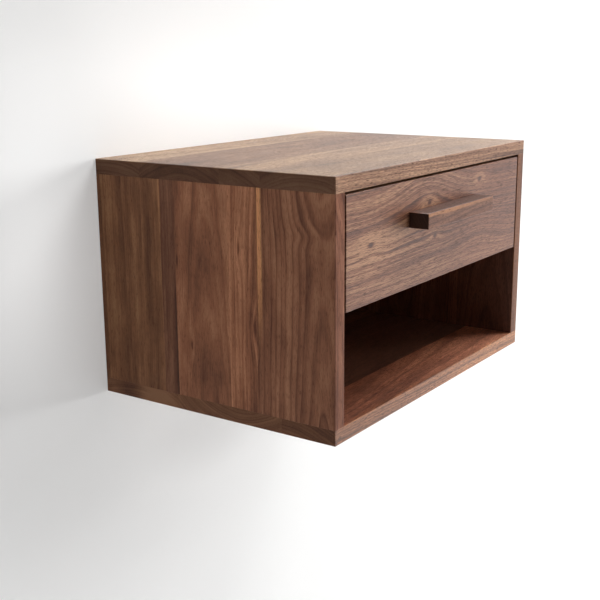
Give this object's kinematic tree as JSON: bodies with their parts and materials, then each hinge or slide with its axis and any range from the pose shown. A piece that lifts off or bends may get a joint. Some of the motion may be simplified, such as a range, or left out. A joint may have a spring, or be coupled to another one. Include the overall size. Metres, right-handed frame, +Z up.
{
  "type": "floating nightstand",
  "caption": "Wall-hung walnut nightstand with an inset drawer on telescopic ball slides, a square bar handle and an open cubby under the drawer.",
  "frame": {"origin": "centre of the wall cleat's back face, in the plane of the wall", "axes": "+Z up, +Y into the wall, +X to the right seen from the front"},
  "size_m": [0.508, 0.383, 0.305],
  "materials": {
    "walnut": "oiled black walnut, satin",
    "walnut_ply": "walnut veneered ply, satin",
    "birch_ply": "clear coated birch ply",
    "maple": "clear coated maple, satin",
    "beech": "bare beech",
    "zinc_steel": "zinc plated steel",
    "cage_steel": "bright steel strip and balls",
    "screw_steel": "yellow passivated steel",
    "lever_plastic": "black moulded plastic"
  },
  "bodies": {
    "case": {"top_panel": "walnut", "bottom_panel": "walnut", "left_side_panel": "walnut", "right_side_panel": "walnut", "back_panel": "walnut_ply", "case_cleat": "birch_ply", "wall_cleat": "birch_ply", "cleat_screw_1": "screw_steel", "cleat_screw_2": "screw_steel", "cleat_screw_3": "screw_steel", "cleat_screw_4": "screw_steel", "left_lower_front_tenon": "beech", "left_lower_middle_tenon": "beech", "left_lower_rear_tenon": "beech", "left_upper_front_tenon": "beech", "left_upper_middle_tenon": "beech", "left_upper_rear_tenon": "beech", "right_lower_front_tenon": "beech", "right_lower_middle_tenon": "beech", "right_lower_rear_tenon": "beech", "right_upper_front_tenon": "beech", "right_upper_middle_tenon": "beech", "right_upper_rear_tenon": "beech", "left_outer_rail": "zinc_steel", "right_outer_rail": "zinc_steel", "left_rail_screw_1": "screw_steel", "left_rail_screw_2": "screw_steel", "left_rail_screw_3": "screw_steel", "right_rail_screw_1": "screw_steel", "right_rail_screw_2": "screw_steel", "right_rail_screw_3": "screw_steel"},
    "drawer": {"drawer_front": "walnut", "bar_handle": "walnut", "drawer_box_front": "maple", "drawer_box_back": "maple", "drawer_box_left": "maple", "drawer_box_right": "maple", "drawer_bottom": "birch_ply", "front_screw_1": "screw_steel", "front_screw_2": "screw_steel", "front_screw_3": "screw_steel", "front_screw_4": "screw_steel", "handle_screw_1": "screw_steel", "handle_screw_2": "screw_steel", "left_inner_rail": "zinc_steel", "right_inner_rail": "zinc_steel", "left_box_screw_1": "screw_steel", "left_box_screw_2": "screw_steel", "right_box_screw_1": "screw_steel", "right_box_screw_2": "screw_steel"},
    "left_middle": {"left_middle_rail": "zinc_steel"},
    "left_outer_balls": {"left_outer_ball_cage": "cage_steel"},
    "left_inner_balls": {"left_inner_ball_cage": "cage_steel"},
    "left_lever": {"left_release_lever": "lever_plastic"},
    "right_middle": {"right_middle_rail": "zinc_steel"},
    "right_outer_balls": {"right_outer_ball_cage": "cage_steel"},
    "right_inner_balls": {"right_inner_ball_cage": "cage_steel"},
    "right_lever": {"right_release_lever": "lever_plastic"}
  },
  "joints": [
    {"name": "drawer_slide", "type": "slide", "parent": "case", "child": "drawer", "axis": [0, -1, 0], "range_m": [0, 0.29]},
    {"name": "left_middle_slide", "type": "slide", "parent": "case", "child": "left_middle", "axis": [0, -1, 0], "range_m": [0, 0.146]},
    {"name": "left_outer_balls_slide", "type": "slide", "parent": "case", "child": "left_outer_balls", "axis": [0, -1, 0], "range_m": [0, 0.073]},
    {"name": "left_inner_balls_slide", "type": "slide", "parent": "case", "child": "left_inner_balls", "axis": [0, -1, 0], "range_m": [0, 0.218]},
    {"name": "left_lever_hinge", "type": "hinge", "parent": "drawer", "child": "left_lever", "pos_m": [-0.2251, -0.089, 0.0245], "axis": [1, 0, 0], "range_deg": [0, 12], "stiffness_Nm_per_rad": 0.02, "springref_deg": -5.73},
    {"name": "right_middle_slide", "type": "slide", "parent": "case", "child": "right_middle", "axis": [0, -1, 0], "range_m": [0, 0.146]},
    {"name": "right_outer_balls_slide", "type": "slide", "parent": "case", "child": "right_outer_balls", "axis": [0, -1, 0], "range_m": [0, 0.073]},
    {"name": "right_inner_balls_slide", "type": "slide", "parent": "case", "child": "right_inner_balls", "axis": [0, -1, 0], "range_m": [0, 0.218]},
    {"name": "right_lever_hinge", "type": "hinge", "parent": "drawer", "child": "right_lever", "pos_m": [0.2251, -0.089, 0.0245], "axis": [1, 0, 0], "range_deg": [0, 12], "stiffness_Nm_per_rad": 0.02, "springref_deg": -5.73}
  ],
  "couplings": [
    {"joint": "left_middle_slide", "follows": "drawer_slide", "ratio": 0.5},
    {"joint": "left_outer_balls_slide", "follows": "drawer_slide", "ratio": 0.25},
    {"joint": "left_inner_balls_slide", "follows": "drawer_slide", "ratio": 0.75},
    {"joint": "right_middle_slide", "follows": "drawer_slide", "ratio": 0.5},
    {"joint": "right_outer_balls_slide", "follows": "drawer_slide", "ratio": 0.25},
    {"joint": "right_inner_balls_slide", "follows": "drawer_slide", "ratio": 0.75}
  ]
}
